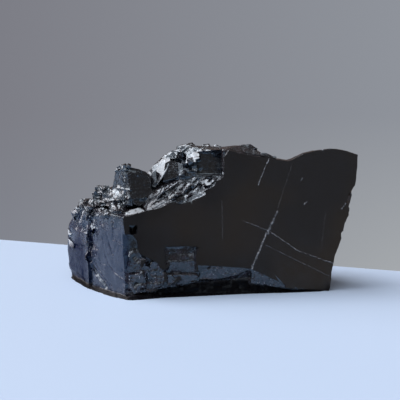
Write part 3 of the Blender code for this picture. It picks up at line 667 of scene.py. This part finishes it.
def ridgeDustAndHighlightGroup():  # where ridges stand out: lighter with dust and with a painted highlight
    group, given, out = newGroup(
        "ridgeDustAndHighlight", dict(Place="Vector", Start="Float", Full="Float"), dict(Mask="Float"),
    )
    ridge = add(group, "ShaderNodeNewGeometry")
    edge = add(
        group, "ShaderNodeMapRange", interpolation_type="SMOOTHSTEP",
        links={"Value": ridge.outputs["Pointiness"], "From Min": given.outputs["Start"],
               "From Max": given.outputs["Full"]},
    )
    spots = noise(group, given.outputs["Place"], 2.0, 3.0).outputs["Fac"]
    worn = maths(group, "MULTIPLY", edge.outputs["Result"], spots)
    group.links.new(worn, out.inputs["Mask"])
    return group


def veinMask(tree, place):  # the veins, broken up into crumbs
    wander = noise(tree, place, 1.3, 3.0).outputs["Color"]
    wander = vectorMaths(tree, "SUBTRACT", wander, (0.5, 0.5, 0.5))
    wander = vectorMaths(tree, "MULTIPLY", wander, (0.7, 0.0, 0.7))
    flatPlace = vectorMaths(tree, "MULTIPLY", vectorMaths(tree, "ADD", place, wander), (1, 0, 1))
    line = lineGroup()
    mask = None
    for vein in veins.values():
        start, end = vein["ends"]
        drawn = add(tree, "ShaderNodeGroup", node_tree=line, links={"Place": flatPlace},
                    values={"Start": (start[0], 0, start[1]), "End": (end[0], 0, end[1]),
                            "Width": vein["width"], "Strength": vein["strength"]})
        if mask is not None:
            tree.links.new(mask, drawn.inputs["Before"])
        mask = drawn.outputs["Mask"]
    crumbs = mapped(tree, noise(tree, place, 1.5, 4.0, 0.8).outputs["Fac"], 0.46, 0.58, 0.10, 1.6)
    return maths(tree, "MULTIPLY", mask, crumbs)


def stoneColour(tree, settings, place, onFace, broken, dullAndShade, mineral):
    brown = mapped(tree, noise(tree, place, settings["brownSpread"], 2.0).outputs["Fac"], 0.42, 0.62)
    cloud = mapped(tree, noise(tree, place, 0.9, 5.0, 0.7).outputs["Fac"], 0.40, 0.66)
    cloud = maths(tree, "MULTIPLY", cloud, pointValue(tree, "mottle"))
    dustAndHighlight = add(tree, "ShaderNodeGroup", node_tree=ridgeDustAndHighlightGroup(), links={"Place": place},
               values={"Start": 0.53, "Full": 0.62}).outputs["Mask"]
    paintedGlints = add(tree, "ShaderNodeGroup", node_tree=paintedGlintGroup(), links={"Place": place},
                 values={"Scale": settings["paintedGlintScale"], "Size": 0.30, "Share": 0.12}).outputs["Mask"]
    paintedGlints = maths(tree, "MULTIPLY", paintedGlints, pointValue(tree, "paintedGlints"))
    colour = mixed(tree, maths(tree, "MULTIPLY", brown, onFace), settings["black"], settings["brown"])
    # over the black and the brown patches: the duller rock and the painted shade under the lip, a painted
    # blue reflection, mottle, dust and painted highlights on ridges, veins, and painted glints
    for share, name in (
        (dullAndShade, "dullAndShadeColour"),
        (maths(tree, "MULTIPLY", pointValue(tree, "paintedBlueReflection"), broken), "paintedBlueReflectionColour"),
        (maths(tree, "MULTIPLY", cloud, broken), "mottleColour"),
        (maths(tree, "MULTIPLY", dustAndHighlight, broken), "dustAndHighlightColour"),
        (mineral, "veinColour"),
        (maths(tree, "MULTIPLY", paintedGlints, broken), "paintedGlintColour"),
    ):
        colour = mixed(tree, share, colour, settings[name])
    return colour


def stoneRoughness(tree, settings, place, broken, dullAndShade, mineral):
    polish = mapped(tree, noise(tree, place, 0.25, 5.0, 0.65).outputs["Fac"], 0.3, 0.7, 0.8, 1.3)
    rough = mapped(tree, dullAndShade, 0.0, 1.0, settings["brokenRoughness"], settings["dullRoughness"])
    rough = add(tree, "ShaderNodeMix", links={"Factor": broken, "B": rough},
                values={"A": settings["faceRoughness"]}).outputs["Result"]
    rough = maths(tree, "MULTIPLY", rough, polish)
    return add(tree, "ShaderNodeMix", links={"Factor": mineral, "A": rough},
               values={"B": settings["veinRoughness"]}).outputs["Result"]


def shungiteMaterial(settings):
    material = bpy.data.materials.new("shungite")
    material.use_nodes = True
    tree = material.node_tree
    shader = tree.nodes["Principled BSDF"]
    shader.inputs["IOR"].default_value = settings["ior"]
    shader.inputs["Specular Tint"].default_value = (*settings["sheenColour"], 1)
    where = add(tree, "ShaderNodeTexCoord")
    place = add(tree, "ShaderNodeMapping", links={"Vector": where.outputs["Object"]},
                values={"Location": tuple(origin), "Scale": (1 / mm, 1 / mm, 1 / mm)}).outputs["Vector"]
    lean = math.radians(faceLean)
    depth = vectorMaths(tree, "DOT_PRODUCT", place, (0, math.cos(lean), -math.sin(lean)))
    onFace = mapped(tree, depth, flatWithin, settings["brokenFrom"], 1.0, 0.0)
    broken = maths(tree, "SUBTRACT", 1.0, onFace)
    dullAndShade = pointValue(tree, "dullAndShade")
    mineral = maths(tree, "MULTIPLY", veinMask(tree, place), onFace, clamp=True)
    grain = add(tree, "ShaderNodeGroup", node_tree=grainGroup(),
                links={"Place": place, "Amount": pointValue(tree, "glitter")},
                values={"Ripple Scale": settings["rippleScale"], "Ripple Height": settings["rippleHeight"],
                        "Chip Scale": settings["chipScale"], "Chip Tilt": settings["chipTilt"],
                        "Fine Scale": settings["fineScale"], "Fine Tilt": settings["fineTilt"]})
    height = maths(tree, "MULTIPLY", grain.outputs["Height"], broken)
    height = maths(tree, "ADD", height, maths(tree, "MULTIPLY", mineral, settings["veinHeight"]))
    bump = add(tree, "ShaderNodeBump", links={"Height": height}, values={"Strength": 1.0, "Distance": mm})
    for name, source in (
        ("Base Color", stoneColour(tree, settings, place, onFace, broken, dullAndShade, mineral)),
        ("Roughness", stoneRoughness(tree, settings, place, broken, dullAndShade, mineral)),
        ("Specular IOR Level", mapped(tree, dullAndShade, 0.0, 1.0, settings["shine"], settings["dullShine"])),
        ("Normal", bump.outputs["Normal"]),
    ):
        tree.links.new(source, shader.inputs[name])
    return material


studio = dict(
    floorColour=(0.30, 0.417, 0.568),
    floorRoughness=0.55,
    floorBack=((-56.9, 92.5), (61.6, 21.2)),  # two points of the table's back edge, as x and y
    floorReach=900.0,
    floorThickness=18.0,
)


def makeFloor(settings):
    (x0, y0), (x1, y1) = settings["floorBack"]
    along = unit([x1 - x0, y1 - y0])
    towards = np.array([along[1], -along[0]])  # from the back edge to the front
    reach = settings["floorReach"]
    corners = []
    for side, depth in ((-1, 0), (1, 0), (1, 1), (-1, 1)):
        corner = np.array([x0, y0]) + along * side * reach + towards * depth * reach
        corners.append(corner)
    shape = bmesh.new()
    top = [shape.verts.new(toFrame((x, y, 0))) for x, y in corners]
    bottom = [shape.verts.new(toFrame((x, y, -settings["floorThickness"]))) for x, y in corners]
    shape.faces.new(top)
    shape.faces.new(bottom[::-1])
    for number in range(4):
        after = (number + 1) % 4
        shape.faces.new((top[number], bottom[number], bottom[after], top[after]))
    bmesh.ops.recalc_face_normals(shape, faces=shape.faces)
    mesh = bpy.data.meshes.new("floor")
    shape.to_mesh(mesh)
    shape.free()
    made = bpy.data.objects.new("floor", mesh)
    bpy.context.collection.objects.link(made)
    material = bpy.data.materials.new("floor")
    material.use_nodes = True
    shader = material.node_tree.nodes["Principled BSDF"]
    shader.inputs["Base Color"].default_value = (*settings["floorColour"], 1)
    shader.inputs["Roughness"].default_value = settings["floorRoughness"]
    shader.inputs["Specular IOR Level"].default_value = 0.2
    mesh.materials.append(material)
    return made


# Soft lights around the stone: the direction each comes from, the cosines at which it fades out and is
# full, and its brightness. The room in front is dark, and the backdrop is pale.
softLights = dict(
    overhead=dict(
        towards=(-0.4, -0.3, 1.0), fades=0.62, full=0.94, colour=(1.05, 0.97, 0.97), strength=1.7,
    ),
    skylight=dict(
        towards=(-0.33, 0.22, 0.9), fades=0.92, full=0.97, colour=(1.05, 0.90, 0.86), strength=6.0,
    ),
    window=dict(
        towards=(-0.80, 0.36, 0.58), fades=0.88, full=0.94, colour=(1.05, 0.90, 0.86), strength=6.0,
    ),
    leftFill=dict(
        towards=(-1.0, 0.1, 0.15), fades=0.3, full=0.95, colour=(0.80, 1.0, 1.25), strength=0.15,
    ),
)
room = dict(
    dark=(0.170, 0.128, 0.108),
    backdropLow=((0.225, 0.238, 0.275), (0.38, 0.40, 0.42)),  # at the table's edge, from left to right
    backdropHigh=((0.205, 0.208, 0.238), (0.270, 0.287, 0.323)),
    rise=(-0.23, -0.08),  # slopes at which the backdrop is seen at the table's edge and higher up
    across=(0.0, 0.34),  # and at its left and right
)


def softLightGroup():
    group, given, out = newGroup(
        "softLight",
        dict(
            Direction="Vector", Towards="Vector", Fades="Float", Full="Float",
            Colour="Color", Strength="Float",
        ),
        dict(Light="Vector"),
    )
    facing = vectorMaths(group, "DOT_PRODUCT", given.outputs["Direction"], given.outputs["Towards"])
    fade = add(
        group, "ShaderNodeMapRange", interpolation_type="SMOOTHSTEP",
        links={"Value": facing, "From Min": given.outputs["Fades"], "From Max": given.outputs["Full"]},
    )
    power = maths(group, "MULTIPLY", fade.outputs["Result"], given.outputs["Strength"])
    group.links.new(vectorMaths(group, "SCALE", given.outputs["Colour"], scale=power), out.inputs["Light"])
    return group


def makeWorld():
    world = bpy.data.worlds.new("studio")
    world.use_nodes = True
    bpy.context.scene.world = world
    tree = world.node_tree
    direction = add(tree, "ShaderNodeTexCoord").outputs["Generated"]
    lamp = softLightGroup()
    light = add(tree, "ShaderNodeCombineXYZ", values=dict(zip("XYZ", room["dark"]))).outputs["Vector"]
    for name, settings in softLights.items():
        lit = add(tree, "ShaderNodeGroup", node_tree=lamp, label=name, links={"Direction": direction},
                  values={"Towards": unit(settings["towards"]), "Fades": settings["fades"],
                          "Full": settings["full"], "Colour": (*settings["colour"], 1),
                          "Strength": settings["strength"]})
        light = vectorMaths(tree, "ADD", light, lit.outputs["Light"])
    seen = add(tree, "ShaderNodeSeparateXYZ", links={"Vector": direction})
    across = mapped(tree, seen.outputs["X"], *room["across"])
    low, high = (mixed(tree, across, *room[name]) for name in ("backdropLow", "backdropHigh"))
    backdrop = mixed(tree, mapped(tree, seen.outputs["Z"], *room["rise"]), low, high)
    straight = add(tree, "ShaderNodeLightPath").outputs["Is Camera Ray"]
    tree.links.new(mixed(tree, straight, light, backdrop), tree.nodes["Background"].inputs["Color"])
    bpy.context.scene.view_settings.view_transform = "Standard"


makeFloor(studio)
makeWorld()
print("studio in place")

piece = makeStone()
piece.data.materials.clear()
piece.data.materials.append(shungiteMaterial(finish))
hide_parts("shungite_stone")
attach(piece, "root")
print("stone in place")
